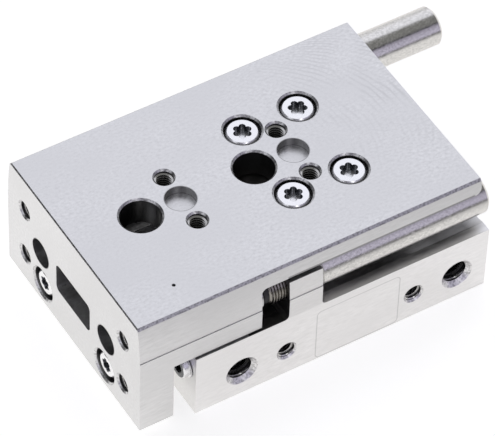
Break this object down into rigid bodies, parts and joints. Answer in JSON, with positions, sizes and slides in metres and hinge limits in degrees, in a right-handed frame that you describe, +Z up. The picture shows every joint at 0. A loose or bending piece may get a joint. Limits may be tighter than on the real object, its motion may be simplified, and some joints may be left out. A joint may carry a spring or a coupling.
{
  "type": "pneumatic slide table",
  "caption": "Twin-piston pneumatic slide table: an L-shaped table on a ball guide, with stop cartridges at both ends of its 20 mm stroke.",
  "frame": {"origin": "centre of the housing's underside", "axes": "+Z up out of the table, +X back along the stroke (the table advances towards -X), -Y the side with the air ports"},
  "size_m": [0.0756, 0.041, 0.024],
  "materials": {
    "table_aluminium": "finely milled, pale",
    "housing_aluminium": "finely brushed along the length",
    "turned_aluminium": "turned",
    "ground_steel": "ground",
    "polished_steel": "polished",
    "screw_steel": "bright zinc plated",
    "spring_steel": "phosphated",
    "dark_steel": "browned",
    "bush_bronze": "sintered",
    "black_rubber": "matt",
    "black_plastic": "moulded",
    "magnet": "sintered"
  },
  "bodies": {
    "base": {"housing": "housing_aluminium", "guide_rail": "ground_steel", "rail_screws": "screw_steel", "rod_bushes": "bush_bronze", "rod_seals": "black_rubber", "front_retaining_rings": "spring_steel", "rear_covers": "turned_aluminium", "rear_cover_seals": "black_rubber", "rear_retaining_rings": "spring_steel", "front_set_screw": "screw_steel", "retract_cartridge": "polished_steel", "retract_buffer": "black_rubber", "advance_button": "ground_steel"},
    "slide": {"slide_table": "table_aluminium", "guide_carriage": "dark_steel", "carriage_end_caps": "black_plastic", "carriage_wipers": "black_rubber", "carriage_balls": "polished_steel", "carriage_screws": "screw_steel", "rod_screws": "screw_steel", "near_piston_rod": "polished_steel", "far_piston_rod": "polished_steel", "near_piston": "turned_aluminium", "far_piston": "turned_aluminium", "piston_magnets": "magnet", "piston_seals": "black_rubber", "piston_bumpers": "black_rubber", "retract_button": "ground_steel", "advance_cartridge": "polished_steel", "advance_buffer": "black_rubber"}
  },
  "joints": [
    {"name": "table_stroke", "type": "slide", "parent": "base", "child": "slide", "axis": [-1, 0, 0], "range_m": [0, 0.02]}
  ]
}
